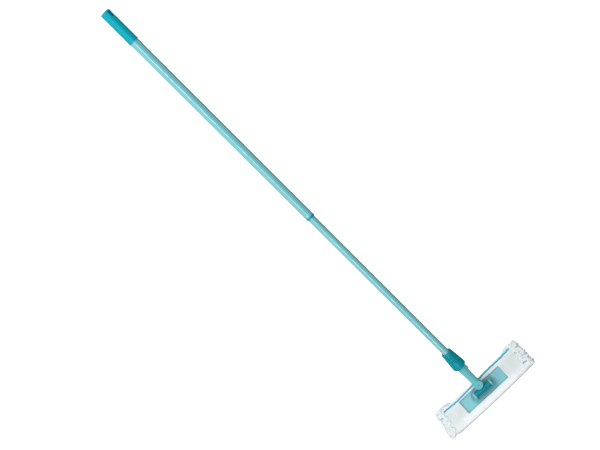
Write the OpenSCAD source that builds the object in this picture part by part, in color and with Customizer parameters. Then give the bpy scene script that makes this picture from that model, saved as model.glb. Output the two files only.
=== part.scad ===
// Flat window wiper: a microfibre sleeve on a rigid plate, carried by a two-way joint on a
// telescopic twist-lock pole with a quick-release collar. Millimetres.
// X runs along the plate, +Y is the side the pole leans to, +Z is up. The origin is on the
// wiping face, right under the tilt axle. Pole pieces are drawn upright from the tilt axle
// (pole height 0) and then leaned as one.

/* [Pole] */
// Outer diameter of the upper tube
upper_tube_d = 25; // [20.5:0.5:30]
// Length of the upper tube
upper_tube_l = 685.5; // [560:0.5:830]
// Wall of both steel tubes
tube_wall = 0.5; // [0.4:0.1:0.8]
// Wall of the guide bush between the two tubes
bush_wall = 1.45; // [1.2:0.05:2.5]
// Length of the guide bush inside the upper tube
bush_insert = 40; // [25:1:50]
// Thickness of the bush's visible ring
bush_ring_l = 6.5; // [5:0.5:10]
// Lower tube that shows between the collar and the ring
shown_extension = 531; // [430:1:640]
// Lower tube that stays inside the upper tube
overlap = 100; // [84:1:120]
// How far the pole leans from upright
lean = 50; // [30:1:60]

/* [Grip] */
// Length of the end grip
grip_l = 96; // [75:1:116]
// Wall of the grip over the upper tube
grip_wall = 1.2; // [0.8:0.1:2.5]
// Solid end of the grip beyond the tube
grip_cap_l = 23; // [23:0.5:30]
// Radius of the rounded end
grip_dome = 3; // [2:0.5:4]
// Half the width of the hang slot
hang_r = 3.5; // [2.5:0.1:4]
// Distance between the centres of the slot's round ends
hang_run = 10; // [6:0.5:10.5]
// Middle of the hang slot to the end of the grip
hang_from_end = 13; // [12:0.5:13.5]
// Turn of the hang slot about the pole, from the front
hang_turn = 50; // [0:1:90]
// Chamfer round the hang slot's mouths
hang_chamfer = 1; // [0.5:0.1:1.5]

/* [Twist lock] */
// Length of the split sleeve
sleeve_l = 26; // [21:1:32]
// Taper of the lock, radius per length
lock_taper = 0.15; // [0.1:0.01:0.18]
// Radius of the lock spindle
spindle_r = 4; // [3:0.1:4.5]
// Lift of the taper nut for half a turn
nut_lift = 1.5; // [1:0.1:2]
// Length of the plug that is pressed into the tube
plug_l = 28; // [24:1:36]

/* [Release collar] */
// Fitted length of the collar's spring
spring_l = 16.3; // [13.5:0.1:24]
// Bottom of the coupling socket to the catch pins
catch_up = 26; // [21:0.5:32]
// Growth of the collar's radius from top to band
collar_flare = 4.2; // [2:0.1:5]
// Travel of the collar towards the grip
collar_travel = 7.5; // [5:0.1:8]
// Travel of each catch pin
catch_travel = 2; // [1.5:0.1:2.4]
// Radius of the catch pins
catch_r = 2.5; // [2:0.1:3]
// Wall of the coupling socket
socket_wall = 3.4; // [2.8:0.1:4.1]
// Finger recesses round the collar
recess_count = 10; // [6:1:11]
// Depth of the finger recesses
recess_deep = 1.8; // [1:0.1:2]
// Radius of the finger recesses
recess_r = 3.2; // [2.5:0.1:4]

/* [Neck and joint] */
// Knuckle centre to the bottom of the collar
neck_l = 74.5; // [62:0.5:90]
// Thinnest radius of the neck
neck_waist_r = 11.4; // [9.5:0.1:13.7]
// Radius of the knuckle
knuckle_r = 13.5; // [11.2:0.1:16.2]
// Width of the knuckle along its pin
knuckle_w = 22; // [20:0.5:26]
// Width of the trunnion's lug in the knuckle's slot
lug_w = 9.8; // [8:0.1:11]
// Radius of the swing pin
swing_r = 2.5; // [2:0.1:3]
// Gap between the knuckle and the trunnion's relief
knuckle_gap = 1.5; // [0.8:0.1:4]
// Height of the trunnion's relief under the knuckle, from the tilt axle
relief_h = 7.5; // [6.2:0.1:8.5]
// Overall length of the trunnion between the ears
trunnion_l = 52; // [46:1:63]
// Radius of the trunnion's bar
trunnion_r = 9.5; // [8.6:0.1:11]
// Radius of the trunnion's stub axles
stub_r = 4; // [3:0.1:5]

/* [Plate] */
// Gap between the trunnion and the plate
axle_gap = 4.5; // [2:0.5:8]
// Length of the base plate
plate_l = 284; // [230:1:345]
// Width of the base plate
plate_w = 70; // [58:1:86]
// Thickness of the base plate
plate_t = 3.5; // [2.9:0.1:4.2]
// Thickness of each ear
ear_t = 5; // [4:0.5:7]

/* [Microfibre sleeve] */
// Thickness of the wiping pile
pile_t = 7.5; // [6:0.5:9]
// Cloth thickness over the plate
flap_t = 5.5; // [4:0.1:6]
// How far the sleeve stands past the plate's ends
end_pile = 10; // [6:0.5:12]
// How far the sleeve stands past the plate's front edge
front_pile = 7; // [2:0.5:9]
// How far the sleeve stands past the plate's rear edge
rear_pile = 10; // [9:0.5:12]
// How far the elastic pulls the middle of the rear edge in
rear_pull = 7; // [3:0.5:8]
// Length of the long pile at each end
fringe_l = 8; // [4:0.5:10]
// Length of the window that shows the plate
window_l = 147; // [120:1:170]
// Front edge of the window, from the axle
window_front = 20.5; // [17:0.5:25]
// Rear edge of the window, from the axle
window_rear = 20.5; // [17:0.5:25]
// Width of the elastic band
elastic_w = 5.5; // [4:0.5:7]
// Thickness of the elastic band
elastic_t = 1.6; // [1:0.1:2]

/* [Hidden] */

round_fn = 96;      // facets of a full circle where one is drawn
run_gap = 0.05;     // radial clearance of a running fit
free_gap = 0.3;     // clearance of faces that only pass each other
past = 1;           // how far a cut runs past the face it opens

// Pole radii, each worked out from the upper tube
upper_r = upper_tube_d / 2;
upper_bore_r = upper_r - tube_wall;
lower_r = upper_bore_r - bush_wall - run_gap;
lower_bore_r = lower_r - tube_wall;

// Coupling radii, each worked out from the lower tube
socket_r = lower_r + 1;
spigot_r = socket_r - socket_wall - run_gap;
land_r = socket_r + 0.2;
flange_r = socket_r + 2.5;
chamber_r = flange_r + 0.4;
collar_top_r = chamber_r + 1.6;
collar_band_r = collar_top_r + collar_flare;

// Catch pins and the cam inside the collar that follows them
dimple_depth = 1.8;
catch_tip_r = socket_r + 0.8;
catch_root_r = spigot_r - dimple_depth;
cam_slope = catch_travel / collar_travel;
cam_gap = 0.1;
cam_r = catch_tip_r - catch_r + (catch_r + cam_gap) * sqrt(1 + cam_slope * cam_slope);
cam_low = collar_travel + catch_r;
rim_r = cam_r + cam_low * cam_slope;
land_l = 1.2;
neck_r = rim_r - 1.15;

// Heights up the pole, from the tilt axle
axle_to_knuckle = relief_h + knuckle_gap + knuckle_r;
s_collar = axle_to_knuckle + neck_l;
s_socket = s_collar + 2;
s_catch = s_socket + catch_up;
s_seat = s_catch + (cam_r - land_r) / cam_slope + land_l;
s_flange = s_seat + spring_l;
flange_t = 3.5;
s_lower = s_flange + flange_t;
s_cap = s_lower + free_gap;
cap_l = 5.7;
cap_lap = 1;
socket_roof_t = 4;
s_collar_end = s_cap + cap_l;
collar_l = s_collar_end - s_collar;
s_ring = s_collar_end + shown_extension;
s_upper = s_ring + bush_ring_l;
s_lower_end = s_upper + overlap;
s_upper_end = s_upper + upper_tube_l;
s_grip_end = s_upper_end + grip_cap_l;
s_grip = s_grip_end - grip_l;

// Twist lock, stacked on the end of the lower tube
lock_flange_t = 3;
s_sleeve = s_lower_end + lock_flange_t + free_gap;
sleeve_r = upper_bore_r - run_gap;
sleeve_mouth_r = sleeve_r - 2.2;
sleeve_taper_l = sleeve_l - 6;
sleeve_throat_r = sleeve_mouth_r - sleeve_taper_l * lock_taper;
nut_bite = sleeve_taper_l - 4;
nut_head_l = 6;
s_nut = s_sleeve + sleeve_l - nut_bite;
s_nut_end = s_sleeve + sleeve_l + nut_head_l;
s_washer = s_nut_end + nut_lift + 0.5;
washer_t = 1.2;
screw_r = spindle_r / 2;
screw_l = 9;
screw_head_l = 2.6;

// Plate and sleeve
plate_z = pile_t;
plate_top = plate_z + plate_t;
plate_floor_t = 1;
axle_z = plate_top + plate_floor_t + axle_gap + trunnion_r;
plate_corner = 12;
sleeve_top = plate_top + flap_t;
sleeve_half_l = plate_l / 2 + end_pile;
sleeve_front = -plate_w / 2 - front_pile;
sleeve_rear = plate_w / 2 + rear_pile;
sleeve_corner = 9;
rear_pull_half = sleeve_half_l - 34;
rear_pull_run = 14;
window_half = window_l / 2;
ear_x = trunnion_l / 2 + 0.6;
ear_r = stub_r + 4.5;

// ---- shared shapes ----

// A point list along an arc from angle a0 to a1
function arc(c, r, a0, a1, n = 8) =
    [for (i = [0:n]) c + r * [cos(a0 + (a1 - a0) * i / n), sin(a0 + (a1 - a0) * i / n)]];

// Moves children from the upright drawing position onto the leaning pole
module on_pole(s = 0) {
    translate([0, 0, axle_z]) rotate([-lean, 0, 0]) translate([0, 0, s]) children();
}

// A cylinder along X, centred
module rod_x(r, l) {
    rotate([0, 90, 0]) cylinder(r = r, h = l, center = true, $fn = round_fn);
}

// A cylinder along Y, centred
module rod_y(r, l) {
    rotate([90, 0, 0]) cylinder(r = r, h = l, center = true, $fn = round_fn);
}

// A straight ring
module ring(r_out, r_in, l) {
    difference() {
        cylinder(r = r_out, h = l, $fn = round_fn);
        translate([0, 0, -past]) cylinder(r = r_in, h = l + 2 * past, $fn = round_fn);
    }
}

// A rectangle with round corners, from two corner points
module round_rect(low, high, r) {
    translate([low.x + r, low.y]) square([high.x - low.x - 2 * r, high.y - low.y]);
    translate([low.x, low.y + r]) square([high.x - low.x, high.y - low.y - 2 * r]);
    for (x = [low.x + r, high.x - r], y = [low.y + r, high.y - r])
        translate([x, y]) circle(r = r, $fn = round_fn);
}

// A slot outline with round ends, along X
module stadium(l, w) {
    square([l - w, w], center = true);
    for (side = [-1, 1]) translate([side * (l - w) / 2, 0]) circle(d = w, $fn = round_fn);
}

// ---- handle ----

// One mouth of the hang slot with its chamfer, facing -Y, cut to the middle of the grip
module hang_mouth(depth) {
    rise = 2 * hang_chamfer;
    for (end = [-1, 1]) translate([0, 0, end * hang_run / 2]) rotate([90, 0, 0]) {
        cylinder(r = hang_r, h = depth + rise, $fn = round_fn);
        translate([0, 0, depth - hang_chamfer])
            cylinder(r1 = hang_r, r2 = hang_r + rise, h = rise, $fn = round_fn);
    }
    translate([0, 0, -hang_run / 2]) linear_extrude(hang_run) polygon([
        [-hang_r, past], [hang_r, past], [hang_r, hang_chamfer - depth],
        [hang_r + rise, hang_chamfer - depth - rise], [-hang_r - rise, hang_chamfer - depth - rise],
        [-hang_r, hang_chamfer - depth]]);
}

// Moulded grip over the top of the upper tube, closed, with a hang slot across its end
module end_grip() {
    grip_r = upper_r + grip_wall;
    flare = 0.5;
    flare_l = 4;
    edge = 0.5;
    color([0.05, 0.66, 0.75]) on_pole(s_grip) difference() {
        rotate_extrude($fn = round_fn) polygon(concat(
            [[0, 0], [grip_r + flare - edge, 0], [grip_r + flare, edge],
             [grip_r + flare, flare_l], [grip_r, flare_l + 2]],
            arc([grip_r - grip_dome, grip_l - grip_dome], grip_dome, 0, 90),
            [[0, grip_l]]));
        translate([0, 0, -past]) cylinder(r = upper_r, h = grip_l - grip_cap_l + past, $fn = round_fn);
        translate([0, 0, grip_l - hang_from_end])
            for (side = [0, 180]) rotate([0, 0, hang_turn + side]) hang_mouth(grip_r);
    }
}

// Upper steel tube
module upper_tube() {
    color([0.52, 0.82, 0.84]) on_pole(s_upper) ring(upper_r, upper_bore_r, upper_tube_l);
}

// Plastic bush in the mouth of the upper tube, with a ring that shows
module guide_bush() {
    bush_bore_r = lower_r + run_gap;
    ring_r = upper_r + 0.7;
    edge = 1.5;
    color([0.02, 0.58, 0.66]) on_pole(s_ring) rotate_extrude($fn = round_fn) polygon(concat(
        [[bush_bore_r, 0], [ring_r - edge, 0]],
        arc([ring_r - edge, edge], edge, -90, 0, 5),
        arc([ring_r - edge, bush_ring_l - edge], edge, 0, 60, 4),
        [[ring_r - edge, bush_ring_l], [upper_bore_r, bush_ring_l],
         [upper_bore_r, bush_ring_l + bush_insert], [bush_bore_r, bush_ring_l + bush_insert]]));
}

// ---- twist lock inside the upper tube ----

// Split sleeve that spreads against the upper tube
module expanding_sleeve() {
    split_w = 2;
    color([0.92, 0.92, 0.9]) on_pole(s_sleeve) difference() {
        cylinder(r = sleeve_r, h = sleeve_l, $fn = round_fn);
        translate([0, 0, -past])
            cylinder(r = sleeve_throat_r, h = sleeve_l - sleeve_taper_l + 2 * past, $fn = round_fn);
        translate([0, 0, sleeve_l - sleeve_taper_l]) cylinder(r1 = sleeve_throat_r,
            r2 = sleeve_mouth_r + past * lock_taper, h = sleeve_taper_l + past, $fn = round_fn);
        translate([0, -split_w / 2, -past]) cube([sleeve_r + past, split_w, sleeve_l + 2 * past]);
    }
}

// Tapered nut that the spindle draws into the sleeve
module taper_nut() {
    nut_gap = 0.15;
    root_r = sleeve_mouth_r - nut_bite * lock_taper - nut_gap;
    head_r = sleeve_mouth_r - nut_gap;
    color([0.25, 0.27, 0.3]) on_pole(s_nut) difference() {
        union() {
            cylinder(r1 = root_r, r2 = head_r, h = nut_bite, $fn = round_fn);
            translate([0, 0, nut_bite]) cylinder(r = head_r, h = nut_head_l, $fn = round_fn);
        }
        translate([0, 0, -past])
            cylinder(r = spindle_r + run_gap, h = nut_bite + nut_head_l + 2 * past, $fn = round_fn);
    }
}

// ---- lower pole ----

// Cross pins and their holes share these sizes
cross_pin_r = 2;
cross_pin_l = 2 * lower_r - 0.4;
plug_pin_down = 12;

// Lower steel tube, drilled across near each end
module lower_tube() {
    lower_tube_l = s_lower_end - s_lower;
    color([0.5, 0.8, 0.83]) on_pole(s_lower) difference() {
        ring(lower_r, lower_bore_r, lower_tube_l);
        for (z = [plug_pin_down, lower_tube_l - plug_pin_down])
            translate([0, 0, z]) rod_x(cross_pin_r, 4 * lower_r);
    }
}

// Plug in the end of the lower tube with the lock's spindle
module lock_spindle() {
    spindle_l = s_washer - s_lower_end;
    color([0.3, 0.32, 0.35]) on_pole(s_lower_end) difference() {
        union() {
            translate([0, 0, -plug_l]) cylinder(r = lower_bore_r, h = plug_l, $fn = round_fn);
            cylinder(r = lower_r, h = lock_flange_t, $fn = round_fn);
            cylinder(r = spindle_r, h = spindle_l, $fn = round_fn);
        }
        translate([0, 0, -plug_pin_down]) rod_x(cross_pin_r, 4 * lower_r);
        translate([0, 0, spindle_l - screw_l - 1])
            cylinder(r = screw_r, h = screw_l + 1 + past, $fn = round_fn);
    }
}

// Cross pin that holds the lock's plug
module plug_pin() {
    color("silver") on_pole(s_lower_end - plug_pin_down) rod_x(cross_pin_r, cross_pin_l);
}

// Washer that stops the taper nut
module end_washer() {
    color("silver") on_pole(s_washer) ring(spindle_r + 3.5, screw_r, washer_t);
}

// Screw in the end of the spindle, with a driver slot
module end_screw() {
    head_r = spindle_r + 1;
    slot_w = 1;
    slot_deep = 1.4;
    color("silver") on_pole(s_washer) {
        translate([0, 0, -screw_l]) cylinder(r = screw_r, h = screw_l + washer_t, $fn = round_fn);
        translate([0, 0, washer_t]) difference() {
            cylinder(r = head_r, h = screw_head_l, $fn = round_fn);
            translate([-head_r - past, -slot_w / 2, screw_head_l - slot_deep])
                cube([2 * (head_r + past), slot_w, slot_deep + past]);
        }
    }
}

// Socket pressed into the lower tube; the neck's spigot goes in from below
module coupling_socket() {
    socket_l = s_flange - s_socket;
    color([0.88, 0.9, 0.9]) on_pole(s_socket) difference() {
        union() {
            cylinder(r = socket_r, h = socket_l, $fn = round_fn);
            translate([0, 0, socket_l]) cylinder(r = flange_r, h = flange_t, $fn = round_fn);
            translate([0, 0, s_lower - s_socket]) cylinder(r = lower_bore_r, h = plug_l, $fn = round_fn);
        }
        translate([0, 0, -past])
            cylinder(r = spigot_r + run_gap, h = socket_l - socket_roof_t + past, $fn = round_fn);
        translate([0, 0, s_catch - s_socket]) rod_x(catch_r + run_gap, 4 * socket_r);
        translate([0, 0, s_lower - s_socket + plug_pin_down]) rod_x(cross_pin_r, 4 * lower_r);
    }
}

// Cross pin that holds the socket in the tube
module socket_pin() {
    color("silver") on_pole(s_lower + plug_pin_down) rod_x(cross_pin_r, cross_pin_l);
}

// Coil spring between the collar's land and the socket's flange
module collar_spring() {
    wire_r = 0.6;
    coil_r = (land_r + chamber_r) / 2;
    turns = 5;
    steps = 16;
    sides = 8;
    low = s_seat + wire_r + 0.05;
    high = s_flange - wire_r - 0.05;
    rings = turns * steps;
    points = [for (i = [0:rings], j = [0:sides - 1])
        let (turn = 360 * i / steps, side = 360 * j / sides, r = coil_r + wire_r * cos(side))
        [r * cos(turn), r * sin(turn), low + (high - low) * i / rings + wire_r * sin(side)]];
    faces = concat(
        [[for (j = [0:sides - 1]) j]],
        [[for (j = [sides - 1:-1:0]) rings * sides + j]],
        [for (i = [0:rings - 1], j = [0:sides - 1])
            let (a = i * sides + j, b = i * sides + (j + 1) % sides) [a, a + sides, b + sides, b]]);
    color("silver") on_pole() polyhedron(points = points, faces = faces);
}

// ---- neck ----

// Neck with a spigot on top, a guide rib on its +X side and a forked knuckle below
module neck() {
    spigot_l = s_flange - s_socket - socket_roof_t - 2;
    spigot_edge = 1.6;
    waist_top = axle_to_knuckle + neck_l * 0.55;
    edge = 1.6;
    slot_w = lug_w + 2 * free_gap;
    slot_r = knuckle_r - 2.2;
    rib_w = 9;
    rib_rise = 1.4;
    rib_l = 19;
    rib_end_l = 4;
    color([0.43, 0.74, 0.76]) on_pole() difference() {
        union() {
            rotate_extrude($fn = round_fn) polygon([
                [0, axle_to_knuckle], [neck_waist_r, axle_to_knuckle],
                [neck_waist_r, waist_top], [neck_r - 0.9, s_collar - 6], [neck_r, s_collar - 1],
                [neck_r, s_socket], [spigot_r, s_socket],
                [spigot_r, s_socket + spigot_l - spigot_edge],
                [spigot_r - spigot_edge, s_socket + spigot_l], [0, s_socket + spigot_l]]);
            translate([0, 0, axle_to_knuckle]) rotate([90, 0, 0]) rotate_extrude($fn = round_fn)
                polygon(concat(
                    [[0, -knuckle_w / 2]],
                    arc([knuckle_r - edge, edge - knuckle_w / 2], edge, -90, 0, 5),
                    arc([knuckle_r - edge, knuckle_w / 2 - edge], edge, 0, 90, 5),
                    [[0, knuckle_w / 2]]));
            translate([0, rib_w / 2, 0]) rotate([90, 0, 0]) linear_extrude(rib_w) polygon([
                [0, s_collar], [neck_r - 1.5, s_collar],
                [neck_r + rib_rise, s_collar - rib_l + rib_end_l],
                [neck_r + rib_rise, s_collar - rib_l], [0, s_collar - rib_l - rib_end_l]]);
        }
        translate([0, 0, axle_to_knuckle]) rod_y(slot_r, slot_w);
        translate([-2 * knuckle_r, -slot_w / 2, 0]) cube([4 * knuckle_r, slot_w, axle_to_knuckle + 4]);
        translate([0, 0, axle_to_knuckle]) rod_y(swing_r, 4 * knuckle_w);
        for (side = [0, 180]) rotate([0, 0, side]) translate([catch_root_r - 0.4, 0, s_catch])
            rotate([0, 90, 0]) cylinder(r = catch_r + 2 * run_gap, h = 2 * spigot_r, $fn = round_fn);
    }
}

// Moulded pin through the knuckle and the trunnion's lug
module swing_pin() {
    color([0.43, 0.74, 0.76]) on_pole(axle_to_knuckle) rod_y(swing_r, knuckle_w - 1);
}

// ---- release collar ----

// Sliding sleeve with finger recesses; its inner cone works the catch pins
module release_collar() {
    edge = 3.5;
    body_l = s_cap + cap_lap - s_collar;
    band_l = 8;
    recess_low = band_l + 20;
    recess_high = body_l - 8;
    recess_l = recess_high - recess_low;
    slope = atan((collar_band_r - collar_top_r) / (body_l - band_l));
    function skin(z) = collar_band_r - (z - band_l) * tan(slope);
    color([0.02, 0.56, 0.64]) on_pole(s_collar) difference() {
        rotate_extrude($fn = round_fn) polygon(concat(
            [[rim_r, 0]],
            arc([collar_band_r - edge, edge], edge, -90, 0, 8),
            [[collar_band_r, band_l], [collar_top_r, body_l],
             [chamber_r, body_l], [chamber_r, s_seat - s_collar], [land_r, s_seat - s_collar],
             [land_r, s_seat - land_l - s_collar], [rim_r, s_catch - cam_low - s_collar]]));
        for (i = [0:recess_count - 1]) rotate([0, 0, (i + 0.5) * 360 / recess_count])
            translate([skin(recess_low) + recess_r - recess_deep, 0, recess_low]) rotate([0, -slope, 0]) {
                cylinder(r = recess_r, h = recess_l, $fn = round_fn);
                for (z = [0, recess_l]) translate([0, 0, z]) sphere(r = recess_r, $fn = round_fn);
            }
    }
}

// Cap that closes the top of the collar and stops it on the socket's flange
module collar_cap() {
    cap_bore_r = lower_r + 0.4;
    cap_edge = 2.4;
    low = s_cap + cap_lap - s_collar;
    color([0.02, 0.5, 0.58]) on_pole(s_collar) rotate_extrude($fn = round_fn) polygon(concat(
        [[cap_bore_r, s_cap - s_collar], [chamber_r, s_cap - s_collar], [chamber_r, low],
         [collar_top_r, low]],
        arc([collar_top_r - cap_edge, collar_l - cap_edge], cap_edge, 0, 90, 6),
        [[cap_bore_r, collar_l]]));
}

// Catch pin on the +X side: a cylinder with a round outer end and a tapered tip
module catch_pin() {
    tip_taper = 0.8;
    on_pole(s_catch) rotate([0, 90, 0]) {
        translate([0, 0, catch_root_r + tip_taper])
            cylinder(r = catch_r, h = catch_tip_r - catch_r - catch_root_r - tip_taper, $fn = round_fn);
        translate([0, 0, catch_root_r])
            cylinder(r1 = catch_r - tip_taper, r2 = catch_r, h = tip_taper, $fn = round_fn);
        translate([0, 0, catch_tip_r - catch_r]) sphere(r = catch_r, $fn = round_fn);
    }
}

module catch_pin_left() {
    color("silver") mirror([1, 0, 0]) catch_pin();
}

module catch_pin_right() {
    color("silver") catch_pin();
}

// ---- head ----

// Cross-piece of the two-way joint: a bar with stub axles at its ends and a lug in the middle,
// hollowed a little where the knuckle turns
module trunnion() {
    edge = 0.8;
    lug_r = knuckle_r - 3.3;
    lug_root_l = 16;
    half = trunnion_l / 2;
    stub_end = ear_x + ear_t + edge;
    color([0.05, 0.52, 0.6]) on_pole() difference() {
        union() {
            difference() {
                rotate([0, 90, 0]) rotate_extrude($fn = round_fn) polygon([
                    [0, -stub_end], [stub_r - edge, -stub_end], [stub_r, edge - stub_end],
                    [stub_r, -half], [trunnion_r - edge, -half], [trunnion_r, edge - half],
                    [trunnion_r, half - edge], [trunnion_r - edge, half], [stub_r, half],
                    [stub_r, stub_end - edge], [stub_r - edge, stub_end], [0, stub_end]]);
                translate([0, 0, axle_to_knuckle]) rod_y(knuckle_r + knuckle_gap, 4 * trunnion_r);
            }
            translate([0, 0, axle_to_knuckle]) rod_y(lug_r, lug_w);
            translate([-lug_root_l / 2, -lug_w / 2, 0]) cube([lug_root_l, lug_w, axle_to_knuckle]);
        }
        translate([0, 0, axle_to_knuckle]) rod_y(swing_r + run_gap, 2 * lug_w);
    }
}

// The plain outline of the plate, also cut out of the sleeve around it
module plate_slab() {
    translate([0, 0, plate_z]) linear_extrude(plate_t)
        round_rect([-plate_l / 2, -plate_w / 2], [plate_l / 2, plate_w / 2], plate_corner);
}

// A wall of constant thickness along a slot outline
module stadium_wall(l, w, t) {
    difference() {
        stadium(l, w);
        stadium(l - 2 * t, w - 2 * t);
    }
}

// Rigid plate with two oval ridges round the joint and two ears for the trunnion
module base_plate() {
    ridge_l = 2 * (ear_x + ear_t) + 22.8;
    ridge_w = 38;
    ridge_t = 2;
    ridge_h = 3.4;
    inner_in = 8;
    inner_t = 1.6;
    inner_h = 1.8;
    rib_y = [-13.5, -10.5, 10.5, 13.5];
    rib_w = 1;
    rib_h = 0.7;
    foot_w = 2 * ear_r + 4;
    foot_l = ear_t + 2.4;
    foot_h = 2.4;
    color([0.53, 0.77, 0.8]) difference() {
        union() {
            plate_slab();
            translate([0, 0, plate_top]) {
                linear_extrude(ridge_h) stadium_wall(ridge_l, ridge_w, ridge_t);
                linear_extrude(plate_floor_t) stadium(ridge_l - 2 * ridge_t, ridge_w - 2 * ridge_t);
                translate([0, 0, plate_floor_t]) {
                    linear_extrude(inner_h) intersection() {
                        stadium_wall(ridge_l - inner_in, ridge_w - inner_in, inner_t);
                        for (side = [-1, 1]) translate([side * ridge_l / 2, 0])
                            square([2 * (ridge_l / 2 - ear_x - foot_l), ridge_w], center = true);
                    }
                    for (y = rib_y) translate([-ear_x, y - rib_w / 2, 0])
                        cube([2 * ear_x, rib_w, rib_h]);
                }
            }
            for (side = [0, 1]) mirror([side, 0, 0]) {
                translate([ear_x, -ear_r, plate_top]) cube([ear_t, 2 * ear_r, axle_z - plate_top]);
                translate([ear_x + ear_t / 2, 0, axle_z]) rod_x(ear_r, ear_t);
                translate([ear_x, -foot_w / 2, plate_top]) cube([foot_l, foot_w, foot_h]);
            }
        }
        translate([0, 0, axle_z]) rod_x(stub_r + run_gap, 4 * ear_x);
    }
}

// ---- microfibre sleeve ----

// Outline of the whole sleeve, pulled in along the middle of its rear edge
module sleeve_outline(half_l) {
    rear_cut = [
        [-rear_pull_half, sleeve_rear + past], [-rear_pull_half, sleeve_rear],
        [rear_pull_run - rear_pull_half, sleeve_rear - rear_pull],
        [rear_pull_half - rear_pull_run, sleeve_rear - rear_pull],
        [rear_pull_half, sleeve_rear], [rear_pull_half, sleeve_rear + past]];
    difference() {
        round_rect([-half_l, sleeve_front], [half_l, sleeve_rear], sleeve_corner);
        polygon(rear_cut);
    }
}

// A slice of the sleeve's outer block, between two heights and two corner points
module sleeve_block(z0, z1, low, high) {
    translate([0, 0, z0]) linear_extrude(z1 - z0) intersection() {
        sleeve_outline(sleeve_half_l);
        translate(low) square([high.x - low.x, high.y - low.y]);
    }
}

// Pile under the plate: the wiping pad
module pile_pad() {
    color([0.93, 0.95, 0.95]) linear_extrude(pile_t) sleeve_outline(sleeve_half_l + fringe_l);
}

// One end pocket that the plate slips into
module pocket() {
    difference() {
        sleeve_block(pile_t, sleeve_top, [window_half, sleeve_front], [sleeve_half_l, sleeve_rear]);
        plate_slab();
    }
}

module pocket_left() {
    color([0.87, 0.9, 0.91]) mirror([1, 0, 0]) pocket();
}

module pocket_right() {
    color([0.87, 0.9, 0.91]) pocket();
}

// Strip of the sleeve in front of the window
module front_fold() {
    color([0.9, 0.92, 0.93]) difference() {
        sleeve_block(pile_t, sleeve_top, [-window_half, sleeve_front], [window_half, -window_front]);
        plate_slab();
    }
}

// Strip of the sleeve behind the window
module rear_fold() {
    color([0.9, 0.92, 0.93]) difference() {
        sleeve_block(pile_t, sleeve_top, [-window_half, window_rear], [window_half, sleeve_rear]);
        plate_slab();
    }
}

// Elastic along the rear, pulled in at the left corner of the window
module elastic_band() {
    line = [
        [27 - sleeve_half_l, sleeve_rear - 17], [-window_half, window_rear + 4.5],
        [window_half - 30, window_rear + 11.5], [window_half + 20, window_rear + 11.5],
        [sleeve_half_l - 21, sleeve_rear - 10]];
    half_w = elastic_w / 2;
    color([0.1, 0.7, 0.78]) translate([0, 0, sleeve_top]) linear_extrude(elastic_t) polygon(concat(
        [for (p = line) p - [0, half_w]],
        [for (i = [len(line) - 1:-1:0]) line[i] + [0, half_w]]));
}

// Long pile that stands past the end of the pocket
module fringe() {
    fringe_top = sleeve_top - 2;
    straight = sleeve_corner + 1;
    translate([sleeve_half_l, sleeve_front + straight, pile_t])
        cube([fringe_l, sleeve_rear - sleeve_front - 2 * straight, fringe_top - pile_t]);
}

module fringe_left() {
    color([0.85, 0.91, 0.92]) mirror([1, 0, 0]) fringe();
}

module fringe_right() {
    color([0.85, 0.91, 0.92]) fringe();
}

end_grip();
upper_tube();
guide_bush();
expanding_sleeve();
taper_nut();
lower_tube();
lock_spindle();
plug_pin();
end_washer();
end_screw();
coupling_socket();
socket_pin();
collar_spring();
neck();
swing_pin();
release_collar();
collar_cap();
catch_pin_left();
catch_pin_right();
trunnion();
base_plate();
pile_pad();
pocket_left();
pocket_right();
front_fold();
rear_fold();
elastic_band();
fringe_left();
fringe_right();
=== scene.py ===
import math

import bpy
import numpy as np
from mathutils import Matrix, Vector


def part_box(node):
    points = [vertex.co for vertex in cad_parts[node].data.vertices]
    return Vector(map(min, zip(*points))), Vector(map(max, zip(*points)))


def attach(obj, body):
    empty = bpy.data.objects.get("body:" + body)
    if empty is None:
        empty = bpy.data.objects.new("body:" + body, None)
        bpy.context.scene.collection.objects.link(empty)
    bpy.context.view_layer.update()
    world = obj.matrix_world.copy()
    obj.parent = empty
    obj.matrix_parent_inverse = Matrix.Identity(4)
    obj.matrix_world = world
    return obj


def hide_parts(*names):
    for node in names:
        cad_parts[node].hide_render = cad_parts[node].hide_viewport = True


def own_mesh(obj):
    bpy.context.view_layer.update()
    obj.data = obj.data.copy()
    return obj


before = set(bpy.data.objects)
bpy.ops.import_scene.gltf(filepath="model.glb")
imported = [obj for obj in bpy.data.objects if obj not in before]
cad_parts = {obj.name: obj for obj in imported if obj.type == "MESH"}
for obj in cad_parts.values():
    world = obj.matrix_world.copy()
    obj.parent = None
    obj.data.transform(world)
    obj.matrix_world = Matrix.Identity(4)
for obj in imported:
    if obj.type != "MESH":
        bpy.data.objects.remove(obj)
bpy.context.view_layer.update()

# %% [markdown]
# ## Sizes
# Everything is in metres, in the CAD model's frame: X along the plate, Z up, and the pole leans
# towards +Y. The tilt axle lies under the pole's foot. A few sizes are asked from the model, so
# that the cloth fits the plate whatever the plate's size is.
# %% Read the sizes that the cloth has to fit
MM = 0.001
LEAN = math.radians(50)
POLE = Vector((0, math.sin(LEAN), math.cos(LEAN)))
AXLE = Vector((0, 0, 26 * MM))

pad_low, pad_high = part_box("pile_pad")
pocket_low, pocket_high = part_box("pocket_right")
window_x = pocket_low.x
pile_top = pad_high.z
cloth_top = pocket_high.z
front_window_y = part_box("front_fold")[1].y
rear_window_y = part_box("rear_fold")[0].y
slab_top = pile_top + 3.5 * MM
plate_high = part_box("base_plate")[1]
print("window half length", round(window_x / MM, 1), "mm")
print("cloth from", round(pile_top / MM, 1), "to", round(cloth_top / MM, 1), "mm")

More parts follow.
